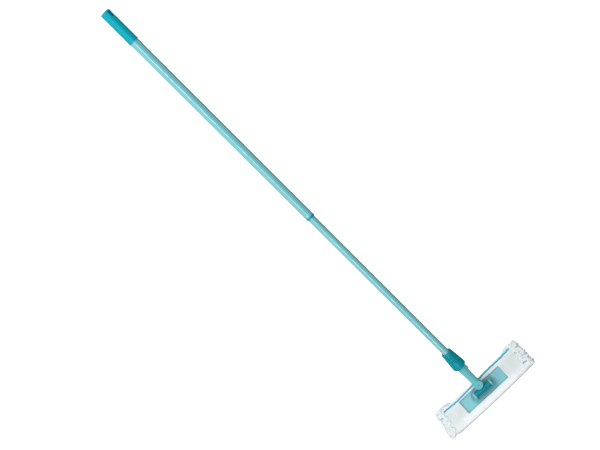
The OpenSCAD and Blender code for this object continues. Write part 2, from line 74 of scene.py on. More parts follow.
# %% [markdown]
# ## Camera
# A camera can be pointed with angles or with a matrix. A matrix is clearer when the picture is
# rolled: its three columns are the picture's right, the picture's up and the way back from the
# subject, so each of them can be read off.
# %% Place the camera
AROUND = math.radians(9.6)
ABOVE = math.radians(61.6)
ROLL = math.radians(-52.8)
DISTANCE = 2.0646

target = AXLE + POLE * 0.7 + Vector((-0.0326, -0.0086, 0))
back = Vector((math.sin(AROUND) * math.cos(ABOVE), -math.cos(AROUND) * math.cos(ABOVE), math.sin(ABOVE)))
level = (-back).cross(Vector((0, 0, 1))).normalized()
upward = level.cross(-back)
right = math.cos(ROLL) * level + math.sin(ROLL) * upward
up = math.cos(ROLL) * upward - math.sin(ROLL) * level
place = target + back * DISTANCE

camera = bpy.data.objects.new("camera", bpy.data.cameras.new("camera"))
bpy.context.scene.collection.objects.link(camera)
camera.data.lens = 48
camera.data.sensor_width = 36
camera.data.clip_end = 100
camera.matrix_world = Matrix((
    (right.x, up.x, back.x, place.x),
    (right.y, up.y, back.y, place.y),
    (right.z, up.z, back.z, place.z),
    (0, 0, 0, 1),
))
bpy.context.scene.camera = camera
print("camera stands", round(DISTANCE, 2), "m away")

# %% [markdown]
# ## Colours and nodes
# A finish is written as the hex colours that a maker would read off a sample. Blender mixes light
# in linear numbers, so one function turns hex into linear. One more adds a shader node, with its
# settings and with its inputs, where an input is a value or another node's output.
# %% Helpers for colours and nodes
def linear(code):
    """Each channel c of an sRGB hex code becomes ((c + 0.055) / 1.055) to the power 2.4."""
    channels = [int(code[i:i + 2], 16) / 255 for i in (1, 3, 5)]
    return (*[c / 12.92 if c <= 0.04045 else ((c + 0.055) / 1.055) ** 2.4 for c in channels], 1)


def add(tree, kind, inputs=None, **settings):
    """Adds a shader node; an input that is a socket is linked, and any other is set."""
    made = tree.nodes.new("ShaderNode" + kind)
    for name, value in settings.items():
        setattr(made, name, value)
    for key, value in (inputs or {}).items():
        if isinstance(value, bpy.types.NodeSocket):
            tree.links.new(value, made.inputs[key])
        else:
            made.inputs[key].default_value = value
    return made


def each(size_mm):
    """The texture scale that repeats a pattern once in a real size: one over that size in metres."""
    return 1000 / size_mm


def new_finish(name, **shader):
    """An empty material with its Principled shader; keywords are the shader's own sockets."""
    made = bpy.data.materials.new(name)
    made.use_nodes = True
    principled = made.node_tree.nodes["Principled BSDF"]
    for key, value in shader.items():
        principled.inputs[key.replace("_", " ")].default_value = value
    return made, made.node_tree, principled


print("one millimetre pattern has scale", each(1))

# %% [markdown]
# ## Moulded plastic
# The grip, ring, collar, neck, joint and plate are injection moulded polypropylene and ABS. The
# mould is spark eroded, which leaves a fine even grain that softens the gloss, and the melt leaves
# slow clouds of slightly different colour where it flowed. Handling polishes the grain in places.
# All of it is one recipe with other colours: clouds in the colour, grain in the bump, and a slow
# change in the roughness. An ambient occlusion node finds the corners and recesses and darkens
# them towards a corner colour: painted shade in corners and recesses.
# %% Moulded plastic finishes
def moulded_plastic(name, base, deep, rough, grain=0.12, grain_mm=0.9, cloud_mm=14, corner="#004F58"):
    """Colour = base to deep by slow noise, then painted shade towards corner where closed in; roughness =
    rough +- 0.05.
    """
    made, tree, shader = new_finish(name, IOR=1.49, Specular_IOR_Level=0.20)
    where = add(tree, "TexCoord").outputs["Object"]
    cloud = add(tree, "TexNoise", {"Vector": where, "Scale": each(cloud_mm), "Detail": 3.0})
    mix = add(tree, "Mix", {0: cloud.outputs["Fac"], 6: linear(base), 7: linear(deep)}, data_type="RGBA")
    # painted shade: ambient occlusion darkens corners and recesses towards the corner colour
    open_sky = add(tree, "AmbientOcclusion", {"Distance": 5 * MM}, samples=12)
    closed = add(tree, "MapRange", {"Value": open_sky.outputs["AO"], "From Min": 0.95, "From Max": 0.25,
                                    "To Min": 0.0, "To Max": 0.8})
    painted_corner_shade = add(tree, "Mix", {0: closed.outputs["Result"], 6: mix.outputs[2], 7: linear(corner)},
                data_type="RGBA")
    tree.links.new(painted_corner_shade.outputs[2], shader.inputs["Base Color"])
    rub = add(tree, "TexNoise", {"Vector": where, "Scale": each(7), "Detail": 2.0})
    spread = add(tree, "MapRange", {"Value": rub.outputs["Fac"], "From Min": 0.3, "From Max": 0.7,
                                    "To Min": rough - 0.05, "To Max": rough + 0.05})
    tree.links.new(spread.outputs["Result"], shader.inputs["Roughness"])
    # the real grain is 0.1 to 0.2 mm, too fine to show, so it is drawn coarser
    fine = add(tree, "TexNoise", {"Vector": where, "Scale": each(grain_mm), "Detail": 2.0})
    bump = add(tree, "Bump", {"Height": fine.outputs["Fac"], "Strength": grain, "Distance": 0.05 * MM})
    tree.links.new(bump.outputs["Normal"], shader.inputs["Normal"])
    return made


# each corner colour below is the painted shade for that plastic's corners and recesses
grip_plastic = moulded_plastic("moulded_grip_plastic", "#00A6B9", "#009DB0", 0.32)
ring_plastic = moulded_plastic("moulded_ring_plastic", "#009DB0", "#0093A6", 0.34)
collar_plastic = moulded_plastic("moulded_collar_plastic", "#0095A4", "#008594", 0.30)
neck_plastic = moulded_plastic("moulded_neck_plastic", "#6DC2C9", "#65BAC1", 0.38, corner="#2C8A8C")
joint_plastic = moulded_plastic("moulded_joint_plastic", "#008899", "#007C8D", 0.30)
plate_plastic = moulded_plastic("moulded_plate_plastic", "#85C3CB", "#79BAC3", 0.42, cloud_mm=32,
                                corner="#2C8A8C")
white_plastic = moulded_plastic("moulded_white_nylon", "#E8E8E2", "#DCDCD4", 0.45, corner="#8A8A84")
dark_plastic = moulded_plastic("moulded_dark_nylon", "#3C4248", "#31363B", 0.42, corner="#15181A")
socket_plastic = moulded_plastic("moulded_socket_nylon", "#DDE2E2", "#D0D7D8", 0.43, corner="#80898B")
print("plastics", len([m for m in bpy.data.materials if m.name.startswith("moulded")]))

# %% [markdown]
# ## Enamelled tube
# Both tubes are thin steel with a baked coloured enamel. It levels as it cures, so it is glossier
# than the plastics, but never quite flat: it keeps a faint orange peel of one to two millimetres.
# The inner tube slides, and the ring rubs fine lines along it, so its gloss is brushed lengthwise.
# The lines are noise in coordinates that are turned to the pole and squeezed along it.
# %% Enamel finishes
def baked_enamel(name, base, deep, rough, lines):
    """Height = orange peel plus lines * noise stretched 60 times along the leaning pole."""
    made, tree, shader = new_finish(name, IOR=1.52, Coat_Weight=1.0, Coat_Roughness=0.06)
    where = add(tree, "TexCoord").outputs["Object"]
    cloud = add(tree, "TexNoise", {"Vector": where, "Scale": each(60), "Detail": 2.0})
    mix = add(tree, "Mix", {0: cloud.outputs["Fac"], 6: linear(base), 7: linear(deep)}, data_type="RGBA")
    tree.links.new(mix.outputs[2], shader.inputs["Base Color"])
    peel = add(tree, "TexNoise", {"Vector": where, "Scale": each(1.8), "Detail": 1.0})
    upright = add(tree, "Mapping", {"Vector": where, "Rotation": (LEAN, 0, 0)})
    squeezed = add(tree, "Mapping", {"Vector": upright.outputs["Vector"], "Scale": (1, 1, 1 / 60)})
    rubbed = add(tree, "TexNoise", {"Vector": squeezed.outputs["Vector"], "Scale": each(0.8), "Detail": 2.0})
    height = add(tree, "Math", {0: rubbed.outputs["Fac"], 1: lines, 2: peel.outputs["Fac"]},
                 operation="MULTIPLY_ADD")
    bump = add(tree, "Bump", {"Height": height.outputs[0], "Strength": 0.06, "Distance": 0.05 * MM})
    tree.links.new(bump.outputs["Normal"], shader.inputs["Normal"])
    spread = add(tree, "MapRange", {"Value": rubbed.outputs["Fac"], "From Min": 0.3, "From Max": 0.7,
                                    "To Min": rough - 0.04, "To Max": rough + 0.04})
    tree.links.new(spread.outputs["Result"], shader.inputs["Roughness"])
    return made


outer_enamel = baked_enamel("baked_enamel_outer_tube", "#7EC8CE", "#79C3C9", 0.20, 0.3)
inner_enamel = baked_enamel("baked_enamel_inner_tube", "#7DC7CC", "#78C1C7", 0.28, 0.8)
print("enamels", outer_enamel.name, inner_enamel.name)

# %% [markdown]
# ## Steel
# The lock's pin, washer and screw and the collar's spring are drawn or turned steel. A metal has
# no colour of its own under its reflection, so the colour is the reflection's, and the drawing
# marks show as a change of roughness.
# %% Steel finish
def drawn_steel(name, base, rough):
    """Roughness = rough + 0.15 * noise of fine marks; height = the same marks."""
    made, tree, shader = new_finish(name, Metallic=1.0)
    where = add(tree, "TexCoord").outputs["Object"]
    marks = add(tree, "TexNoise", {"Vector": where, "Scale": each(0.7), "Detail": 3.0})
    tint = add(tree, "Mix", {0: marks.outputs["Fac"], 6: linear(base), 7: linear("#A9ADB0")},
               data_type="RGBA")
    tree.links.new(tint.outputs[2], shader.inputs["Base Color"])
    spread = add(tree, "MapRange", {"Value": marks.outputs["Fac"], "To Min": rough, "To Max": rough + 0.15})
    tree.links.new(spread.outputs["Result"], shader.inputs["Roughness"])
    bump = add(tree, "Bump", {"Height": marks.outputs["Fac"], "Strength": 0.08, "Distance": 0.05 * MM})
    tree.links.new(bump.outputs["Normal"], shader.inputs["Normal"])
    return made


steel = drawn_steel("drawn_steel", "#C4C7C9", 0.24)
print("steel", steel.name)

# %% [markdown]
# ## Giving the CAD parts their finishes
# A CAD part's mesh is never touched: only its material slots are filled, on the object and not on
# the mesh. The table says which part of the real wiper is made of what.
# %% Fill the CAD parts' material slots
FINISH_OF = {
    "end_grip": grip_plastic, "upper_tube": outer_enamel, "guide_bush": ring_plastic,
    "expanding_sleeve": white_plastic, "taper_nut": dark_plastic, "lower_tube": inner_enamel,
    "lock_spindle": white_plastic, "plug_pin": steel, "end_washer": steel, "end_screw": steel,
    "coupling_socket": socket_plastic, "socket_pin": steel, "neck": neck_plastic,
    "swing_pin": neck_plastic, "release_collar": collar_plastic, "collar_cap": collar_plastic,
    "catch_pin_left": white_plastic, "catch_pin_right": white_plastic, "trunnion": joint_plastic,
    "base_plate": plate_plastic,
}
for part, finish in FINISH_OF.items():
    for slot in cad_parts[part].material_slots:
        slot.link = "OBJECT"
        slot.material = finish
print("CAD parts with a finish", len(FINISH_OF))

# %% [markdown]
# ## Building surfaces from arrays
# A mesh can be modelled by hand or worked out. Here each soft piece is a height above a grid, so
# numpy works out all its points at once. A patch of cloth has a top grid and a bottom grid over
# the same x and y, and a wall of quads joins their borders, so that the cloth is closed.
# %% Helpers that put arrays into meshes
def grid_quads(index, flip=False):
    """Quads between neighbours of a 2-D array of vertex numbers, turned over where flip is set."""
    quads = np.stack([index[:-1, :-1], index[1:, :-1], index[1:, 1:], index[:-1, 1:]], axis=-1)
    quads = quads.reshape(-1, 4)
    return quads[:, ::-1] if flip else quads


def new_piece(name, points, faces, finish, body="head"):
    """A smooth-shaded mesh object at the origin that rides on a CAD body."""
    mesh = bpy.data.meshes.new(name)
    mesh.from_pydata(np.asarray(points, float).reshape(-1, 3).tolist(), [], [list(f) for f in faces])
    mesh.polygons.foreach_set("use_smooth", np.ones(len(mesh.polygons), bool))
    mesh.materials.append(finish)
    mesh.update()
    made = bpy.data.objects.new(name, mesh)
    bpy.context.scene.collection.objects.link(made)
    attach(made, body)
    print(name, "has", len(mesh.vertices), "points and", len(mesh.polygons), "faces")
    return made


def cloth_patch(name, x, y, top, bottom, finish):
    """Top and bottom grids over the same x, y (row = along x), joined round their border by a wall."""
    count = x.size
    upper = np.arange(count).reshape(x.shape)
    lower = upper + count
    rim = np.concatenate([upper[:-1, 0], upper[-1, :-1], upper[:0:-1, -1], upper[0, :0:-1]])
    after = np.roll(rim, -1)
    wall = np.stack([rim + count, after + count, after, rim], axis=-1)
    points = np.concatenate([np.stack([x, y, top], -1).reshape(-1, 3),
                             np.stack([x, y, bottom], -1).reshape(-1, 3)])
    faces = np.concatenate([grid_quads(upper), grid_quads(lower, flip=True), wall]).tolist()
    return new_piece(name, points, faces, finish)


def ripple(x, y, length, seed, waves=14):
    """Smooth noise: the mean of cosine waves of about one length in seeded random directions."""
    dice = np.random.default_rng(seed)
    total = np.zeros_like(x)
    for turn, phase, stretch in dice.random((waves, 3)):
        k = 2 * math.pi / (length * (0.75 + 0.6 * stretch))
        angle = 2 * math.pi * turn
        total += np.cos(k * (x * math.cos(angle) + y * math.sin(angle)) + 2 * math.pi * phase)
    return total / math.sqrt(waves)


def smooth(t):
    """The smooth step 3 t^2 - 2 t^3 of t held between 0 and 1."""
    t = np.clip(t, 0, 1)
    return t * t * (3 - 2 * t)


def rounded(distance, radius):
    """A quarter circle that rises from 0 at an edge to 1 at one radius from it."""
    t = np.clip(distance / radius, 0, 1)
    return np.sqrt(np.clip(1 - (1 - t) ** 2, 0, 1))


print("a grid of 3 by 3 points has", len(grid_quads(np.arange(9).reshape(3, 3))), "quads")

# %% [markdown]
# ## The collar's spring
# A coil spring holds the collar down; a rigid coil would stick into the collar when that is pulled
# back. The coil is wound again here, round the same axis and between the same ends as the CAD
# part.
# %% Wind the spring
SPRING_TURNS, SPRING_STEPS, WIRE_SIDES = 5, 40, 12
WIRE = 0.6 * MM

spring_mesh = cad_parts["collar_spring"].data
spring_points = np.zeros(len(spring_mesh.vertices) * 3)
spring_mesh.vertices.foreach_get("co", spring_points)
up_the_pole = (spring_points.reshape(-1, 3) - np.array(AXLE)) @ np.array(POLE)
spring_low, spring_high = up_the_pole.min(), up_the_pole.max()


def wind_spring():
    """Point = axle + pole * height + (coil + wire * cos side) * radial + wire * sin side * pole."""
    rings = SPRING_TURNS * SPRING_STEPS + 1
    turn = np.linspace(0, 2 * math.pi * SPRING_TURNS, rings)[:, None, None]
    side = (np.arange(WIRE_SIDES) * 2 * math.pi / WIRE_SIDES)[None, :, None]
    height = np.linspace(spring_low + WIRE, spring_high - WIRE, rings)[:, None, None]
    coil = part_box("collar_spring")[1].x - WIRE
    radial = np.cos(turn) * np.array([1, 0, 0]) + np.sin(turn) * np.array([0, POLE.z, -POLE.y])
    points = np.array(AXLE) + (height + WIRE * np.sin(side)) * np.array(POLE)
    points = points + (coil + WIRE * np.cos(side)) * radial
    index = np.arange(rings * WIRE_SIDES).reshape(rings, WIRE_SIDES)
    tube = grid_quads(np.concatenate([index, index[:, :1]], axis=1))
    ends = [index[0].tolist(), index[-1][::-1].tolist()]
    return points, tube.tolist() + ends


points, faces = wind_spring()
spring = new_piece("collar_spring_coil", points, faces, steel, "lower_pole")
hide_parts("collar_spring")
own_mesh(spring)
print("spring", round((spring_high - spring_low) / MM, 1), "mm long")

# %% [markdown]
# ## The sleeve's outline
# The sleeve is cut a little larger than the plate and sewn, so its outline isn't a clean
# rectangle. The elastic pulls the middle of the rear edge in and leaves a lobe at each corner, the
# front edge bows gently, and the left end sits a little askew. Each edge is a function, so every
# cloth piece can use the same outline and meet its neighbours.
# %% Edge functions of the sleeve
CORNER = 13 * MM


def end_x(side, y):
    """x of one end of the sleeve at y: straight, with a bulge, and askew at the left end."""
    uneven = 0.7 * MM * np.sin(y / (4.6 * MM) + side) + 0.5 * MM * np.sin(y / (2.9 * MM))
    if side > 0:
        return pad_high.x - 3.5 * MM - 1.2 * MM * (y / (40 * MM)) ** 2 + uneven
    return pad_low.x + 7 * MM + 0.17 * y + uneven


def corner_drop(x):
    """How far a long edge turns in near an end: a quarter circle of the corner's radius."""
    reach = np.abs(x) - (pad_high.x - CORNER)
    t = np.clip(reach / CORNER, 0, 1)
    return CORNER * (1 - np.sqrt(np.clip(1 - t * t, 0, 1))) * 0.85


def rear_y(x):
    """y of the rear edge: lobes at the corners, and pulled in by the elastic between them."""
    pulled = smooth((121 * MM - np.abs(x)) / (22 * MM))
    return pad_high.y - 8.5 * MM * pulled + 1.6 * MM * pulled * np.sin(x / (52 * MM) - 0.6) - corner_drop(x)


def front_y(x):
    """y of the front edge: a gentle bow that is fullest left of the middle."""
    bow = 2.2 * MM * np.cos((x + 30 * MM) / (95 * MM))
    notch = 3.6 * MM * np.exp(-((x + 139 * MM) / (5 * MM)) ** 2)
    notch = notch + 1.2 * MM * np.exp(-((x - 137 * MM) / (6 * MM)) ** 2)
    return pad_low.y + 0.8 * MM - bow + notch + corner_drop(x)


for x_mm in (0, 125):
    print("rear edge at x", x_mm, "mm is at y", round(float(rear_y(np.array(x_mm * MM))) / MM, 1), "mm")

# %% Grids that fill the outline
def eased(count):
    """Numbers from -1 to 1 that crowd towards both ends: sin of evenly spaced angles."""
    return np.sin(np.linspace(-math.pi / 2, math.pi / 2, count))


def outline_grid(rows, columns):
    """x and y of a grid that fills the whole outline: y between the long edges, x between the ends."""
    u, v = np.meshgrid(eased(rows), np.linspace(-1, 1, columns), indexing="ij")
    x0 = u * pad_high.x
    y = front_y(x0) + (rear_y(x0) - front_y(x0)) * (v + 1) / 2
    left = end_x(-1, y)
    x = left + (end_x(1, y) - left) * (u + 1) / 2
    return x, y


def inside(x, y):
    """Distances in from the two long edges and from the two ends, each the smaller of its pair."""
    long_edge = np.minimum(rear_y(x) - y, y - front_y(x))
    short_edge = np.minimum(end_x(1, y) - x, x - end_x(-1, y))
    return np.maximum(long_edge, 0), np.maximum(short_edge, 0)


pad_x, pad_y = outline_grid(280, 96)
print("pad grid", pad_x.shape)

# %% [markdown]
# ## Microfibre
# Microfibre is split polyester, far finer than a hair, so it scatters light and looks matt and
# slightly velvety. The pile under the plate is loops that clump into tufts a few millimetres
# across, and the pockets are the same yarn knitted flat. Thin fibres on the edge of a fold catch
# the light, which is what sheen adds. Both read Object coordinates, so the pattern stays put.
# Along the long edges the knit is pulled over the plate's rim, so its yarn lies flat and looks
# paler. A number on each point, called pale, says how much, and it fades into the pockets.
# %% Microfibre finishes
def microfibre(name, base, deep, strand_mm, depth_mm, strength):
    """Colour = deep as painted shade between tufts, plus mottled tone, base on them, paler by the attribute;
    height = tufts' middles.
    """
    made, tree, shader = new_finish(name, Roughness=0.95, Sheen_Weight=0.25, Sheen_Roughness=0.5,
                                    Specular_IOR_Level=0.15)
    where = add(tree, "TexCoord").outputs["Object"]
    wobble = add(tree, "TexNoise", {"Vector": where, "Scale": each(strand_mm * 2.5), "Detail": 2.0})
    shifted = add(tree, "VectorMath", {0: wobble.outputs["Color"], 1: (strand_mm * MM,) * 3, 2: where},
                  operation="MULTIPLY_ADD")
    tufts = add(tree, "TexVoronoi", {"Vector": shifted.outputs[0], "Scale": each(strand_mm)})
    mottle = add(tree, "TexNoise", {"Vector": where, "Scale": each(16), "Detail": 4.0})
    # painted shade: the gaps between tufts are darkened towards deep; the mottle added to it is random tone
    shade = add(tree, "MapRange", {"Value": tufts.outputs["Distance"], "From Min": 0.25, "From Max": 0.85,
                                   "To Min": 0.0, "To Max": 0.55})
    cloud = add(tree, "MapRange", {"Value": mottle.outputs["Fac"], "From Min": 0.35, "From Max": 0.7,
                                   "To Min": 0.0, "To Max": 0.45})
    both = add(tree, "Math", {0: shade.outputs["Result"], 1: cloud.outputs["Result"]}, operation="ADD")
    mix = add(tree, "Mix", {0: both.outputs[0], 6: linear(base), 7: linear(deep)}, data_type="RGBA")
    flat_mix = add(tree, "Mix", {0: both.outputs[0], 6: linear("#F0F3F4"), 7: linear("#DDE2E5")},
                   data_type="RGBA")
    pale = add(tree, "Attribute", attribute_name="pale")
    pulled = add(tree, "Mix", {0: pale.outputs["Fac"], 6: mix.outputs[2], 7: flat_mix.outputs[2]},
                 data_type="RGBA")
    tree.links.new(pulled.outputs[2], shader.inputs["Base Color"])
    bump = add(tree, "Bump", {"Height": tufts.outputs["Distance"], "Strength": strength,
                              "Distance": depth_mm * MM}, invert=True)
    tree.links.new(bump.outputs["Normal"], shader.inputs["Normal"])
    return made


# the pile's colours are set greyer than the white pile: painted shade for the grey band along the pad's
# front edge
pile_finish_greyed_as_shade = microfibre("microfibre_pile", "#DFE1E4", "#BEC4C9", 2.6, 0.9, 0.6)
knit_finish = microfibre("microfibre_knit", "#DBE0E1", "#CAD2D4", 1.3, 0.25, 0.5)
print("microfibres ready")

# %% [markdown]
# ## The pile pad
# Under the plate lies the wiping pad: thick looped pile, flat where it rests on the glass and
# round at its edges. It could be a box with a hair system, but hair doesn't leave Blender as a
# mesh. So it is a closed form: flat in the middle, a rounded rim, and tufts as real lumps.
# %% Build the pile pad
def build_pile_pad():
    """Height = middle +- half the pile * rounded rim; the lumps are short ripples along z."""
    middle = pile_top * 0.5
    long_edge, short_edge = inside(pad_x, pad_y)
    rim = rounded(long_edge, 6 * MM) * rounded(short_edge, 6 * MM)
    lump = ripple(pad_x, pad_y, 5.2 * MM, 3) * 0.22 * MM
    top = middle + 0.3 * MM + (pile_top - middle - 0.35 * MM) * rim
    bottom = middle - 0.3 * MM - (middle - 0.75 * MM) * rim + lump * rim - 0.1 * MM
    bottom = np.maximum(bottom, 0)
    return cloth_patch("pile_pad_cloth", pad_x, pad_y, top, bottom, pile_finish_greyed_as_shade)


pile_pad = build_pile_pad()
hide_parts("pile_pad")

# %% [markdown]
# ## The sleeve's upper side
# The pockets and folds are one thickness of pile cloth turned over the plate. All four pieces use
# one pair of height functions, so they meet without a step. The cloth rounds over at the outer
# edge, rolls into a hem at the window, lies lower under the elastic and puckers next to it, and
# soft slack ripples run over it.
# %% Height of the cloth over the plate
ELASTIC_X = np.array([-125, -73.5, 43.5, 93.5, 131]) * MM
ELASTIC_Y = np.array([28, 25, 32, 32, 35]) * MM


def elastic_y(x):
    """y of the elastic at x: straight runs between its corners, softened over 12 mm."""
    near = [np.interp(x + d * MM, ELASTIC_X, ELASTIC_Y) for d in (-12, -6, 0, 6, 12)]
    return sum(near) / len(near)


def window_distance(x, y):
    """Distance out from the window's rectangle, 0 on its edge."""
    dx = np.maximum(np.abs(x) - window_x, 0)
    dy = np.maximum(np.maximum(y - rear_window_y, front_window_y - y), 0)
    return np.hypot(dx, dy)


def cloth_top_z(x, y):
    """Top = hem * rim * full height, less the dip at the elastic, plus puckers and wrinkles."""
    long_edge, short_edge = inside(x, y)
    rim = rounded(long_edge, 5.5 * MM) * rounded(short_edge, 9 * MM)
    hem = rounded(window_distance(x, y), 3 * MM)
    low = pile_top + 1.2 * MM
    full = low + (cloth_top - low) * rim
    hem_low = slab_top + 2.3 * MM
    full = np.where(hem < 1, np.minimum(full, hem_low + (cloth_top - hem_low) * hem), full)
    off = y - elastic_y(x)
    run = smooth((x - ELASTIC_X[0] + 4 * MM) / (8 * MM)) * smooth((ELASTIC_X[-1] + 4 * MM - x) / (8 * MM))
    dip = np.exp(-(off / (4 * MM)) ** 2) * run
    pucker = np.sin(2 * math.pi * x / (8.5 * MM) + 1.4 * ripple(x, y, 40 * MM, 5))
    pucker = pucker * np.exp(-(off / (8 * MM)) ** 2) * run
    slack = ripple(x, y, 46 * MM, 8) * 0.45 * MM + ripple(x, y, 19 * MM, 9) * 0.16 * MM
    return full - 1.1 * MM * dip + rim * hem * (0.32 * MM * pucker + slack - 0.4 * MM)


def cloth_bottom_z(x, y):
    """Bottom = just over the plate, and down on the pad beyond the plate's edges."""
    beyond = np.maximum(np.abs(x) - plate_high.x, np.abs(y) - plate_high.y) - 0.4 * MM
    on_plate = smooth(-beyond / (0.8 * MM))
    long_edge, short_edge = inside(x, y)
    rim = rounded(np.minimum(long_edge, short_edge), 2 * MM)
    hem = rounded(window_distance(x, y), 1.5 * MM)
    over = slab_top + 0.12 * MM + (1 - hem) * 1.4 * MM
    outer = pile_top + 0.12 * MM + (1 - rim) * 0.3 * MM
    return outer + (over - outer) * on_plate


print("cloth height in a pocket", round(float(cloth_top_z(np.array(0.11), np.array(0.0))) / MM, 1), "mm")

# %% Build the two pockets and the two folds
END_BAND = 6.5 * MM


def pocket_grid(side, rows=110, columns=130):
    """A grid from the window's short edge to the pocket's end, inside the outline."""
    u, v = np.meshgrid(np.linspace(0, 1, rows) ** 0.9, eased(columns), indexing="ij")
    x0 = side * (window_x + u * (pad_high.x - END_BAND - window_x))
    y = front_y(x0) + (rear_y(x0) - front_y(x0)) * (v + 1) / 2
    x = side * window_x + u * (end_x(side, y) - side * (END_BAND + window_x))
    if side < 0:
        x, y = x[::-1], y[::-1]
    return x, y


def fold_grid(front, rows=170, columns=46):
    """A grid between the window's long edge and the outline's long edge."""
    u, v = np.meshgrid(np.linspace(-1, 1, rows), (eased(columns) + 1) / 2, indexing="ij")
    x = u * window_x
    low, high = (front_y(x), front_window_y) if front else (rear_window_y, rear_y(x))
    return x, low + (high - low) * v


def paleness(x, y):
    """1 on the long edges and 0 in a pocket: smooth steps 20 mm wide in y, fading over 70 mm in x."""
    beyond = np.maximum(y - rear_window_y, front_window_y - y)
    taut = smooth(0.5 + beyond / (20 * MM))
    return taut * (1 - 0.7 * smooth((np.abs(x) - window_x) / (70 * MM)))


SOFT = {"pocket_left": pocket_grid(-1), "pocket_right": pocket_grid(1),
        "front_fold": fold_grid(True), "rear_fold": fold_grid(False)}
for part, (x, y) in SOFT.items():
    top = np.maximum(cloth_top_z(x, y), cloth_bottom_z(x, y) + 0.5 * MM)
    piece = cloth_patch(part + "_cloth", x, y, top, cloth_bottom_z(x, y), knit_finish)
    pale = piece.data.attributes.new("pale", "FLOAT", "POINT")
    pale.data.foreach_set("value", np.tile(paleness(x, y).ravel(), 2).astype(np.float32))
    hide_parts(part)

# %% [markdown]
# ## The elastic
# A woven elastic is sewn along the rear of the sleeve and draws the cloth in. Its warp runs
# lengthwise with rubber in it, and the weft shows as fine cross ribs. It is a rounded ribbon
# carried along the sewing line, on top of the cloth, with its own UV map so that the ribs follow
# it round its bends.
# %% Elastic finish and ribbon
def woven_elastic():
    """Height = ribs across the ribbon times cords along it, both from the UV map in metres."""
    made, tree, shader = new_finish("woven_elastic", Roughness=0.8, Sheen_Weight=0.15,
                                    Specular_IOR_Level=0.25)
    where = add(tree, "UVMap", uv_map="along").outputs["UV"]
    ribs = add(tree, "TexWave", {"Vector": where, "Scale": each(1.5) / 20 * math.pi, "Distortion": 0.6,
                                 "Detail": 1.0}, bands_direction="X")
    cords = add(tree, "TexWave", {"Vector": where, "Scale": each(1.1) / 20 * math.pi, "Distortion": 0.3},
                bands_direction="Y")
    both = add(tree, "Math", {0: ribs.outputs["Fac"], 1: cords.outputs["Fac"]}, operation="MULTIPLY")
    mix = add(tree, "Mix", {0: both.outputs[0], 6: linear("#08A0BC"), 7: linear("#20BCD2")},
              data_type="RGBA")
    tree.links.new(mix.outputs[2], shader.inputs["Base Color"])
    bump = add(tree, "Bump", {"Height": both.outputs[0], "Strength": 0.6, "Distance": 0.2 * MM})
    tree.links.new(bump.outputs["Normal"], shader.inputs["Normal"])
    return made


STATIONS, PROFILE = 420, 16
HALF_WIDTH, HALF_THICKNESS = 2.2 * MM, 0.75 * MM


def build_elastic():
    """A squared oval profile, carried along the sewing line on the cloth and tapered at its ends."""
    x = np.linspace(ELASTIC_X[0] - 1 * MM, ELASTIC_X[-1] + 1 * MM, STATIONS)
    y = elastic_y(x) + 0.25 * MM * np.sin(2 * math.pi * x / (17 * MM))
    z = cloth_top_z(x, y) + 0.45 * MM
    path = np.stack([x, y, z], -1)
    forward = np.gradient(path, axis=0)
    forward /= np.linalg.norm(forward, axis=1)[:, None]
    across = np.cross([0, 0, 1], forward)
    across /= np.linalg.norm(across, axis=1)[:, None]
    over = np.cross(forward, across)
    turn = np.linspace(0, 2 * math.pi, PROFILE + 1)[:-1]
    wide = HALF_WIDTH * np.sign(np.cos(turn)) * np.abs(np.cos(turn)) ** 0.6
    thick = HALF_THICKNESS * np.sign(np.sin(turn)) * np.abs(np.sin(turn)) ** 0.6
    station = np.arange(STATIONS)
    taper = rounded(np.minimum(station, station[::-1]) * 0.5, 3) * 0.8 + 0.2
    ring = across[:, None] * wide[:, None] + over[:, None] * thick[:, None]
    points = path[:, None] + ring * taper[:, None, None]
    index = np.arange(STATIONS * PROFILE).reshape(STATIONS, PROFILE)
    ends = [index[0][::-1].tolist(), index[-1].tolist()]
    around = np.concatenate([index, index[:, :1]], axis=1)
    return points.reshape(-1, 3), grid_quads(around, flip=True).tolist() + ends


points, faces = build_elastic()
elastic = new_piece("elastic_ribbon", points, faces, woven_elastic())
layer = elastic.data.uv_layers.new(name="along")
corner = np.zeros(len(elastic.data.loops), np.int32)
elastic.data.loops.foreach_get("vertex_index", corner)
uv = np.stack([points[corner, 0], (corner % PROFILE) * 0.8 * MM], -1)
layer.data.foreach_set("uv", uv.astype(np.float32).ravel())
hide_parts("elastic_band")

# %% [markdown]
# ## The fringes of loose pile
# At both ends the pile is longer and loose, and a few strands of it are dyed teal. Each strand is
# a thin tapered tube that starts on the cloth, leans outwards and droops. All strands are worked
# out together: one array axis for the strand, one for the ring along it, one for the point round
# it. A strand has few faces, because there are hundreds.
# %% Fringe finish
def fringe_pile():
    """Colour = white strand or teal strand, by the strand's own attribute."""
    made, tree, shader = new_finish("microfibre_fringe", Roughness=0.9, Sheen_Weight=0.3,
                                    Sheen_Roughness=0.5, Specular_IOR_Level=0.2)
    where = add(tree, "TexCoord").outputs["Object"]
    fine = add(tree, "TexNoise", {"Vector": where, "Scale": each(2.2), "Detail": 3.0})
    white = add(tree, "Mix", {0: fine.outputs["Fac"], 6: linear("#EEF1F1"), 7: linear("#D6DEE1")},
                data_type="RGBA")
    teal = add(tree, "Mix", {0: fine.outputs["Fac"], 6: linear("#7FBCC6"), 7: linear("#559DAA")},
               data_type="RGBA")
    dyed = add(tree, "Attribute", attribute_name="dyed")
    mix = add(tree, "Mix", {0: dyed.outputs["Fac"], 6: white.outputs[2], 7: teal.outputs[2]},
              data_type="RGBA")
    tree.links.new(mix.outputs[2], shader.inputs["Base Color"])
    bump = add(tree, "Bump", {"Height": fine.outputs["Fac"], "Strength": 0.4, "Distance": 0.3 * MM})
    tree.links.new(bump.outputs["Normal"], shader.inputs["Normal"])
    return made


fringe_finish = fringe_pile()
print("fringe finish", fringe_finish.name)

# %% Build a fringe
RINGS, ROUND = 8, 7


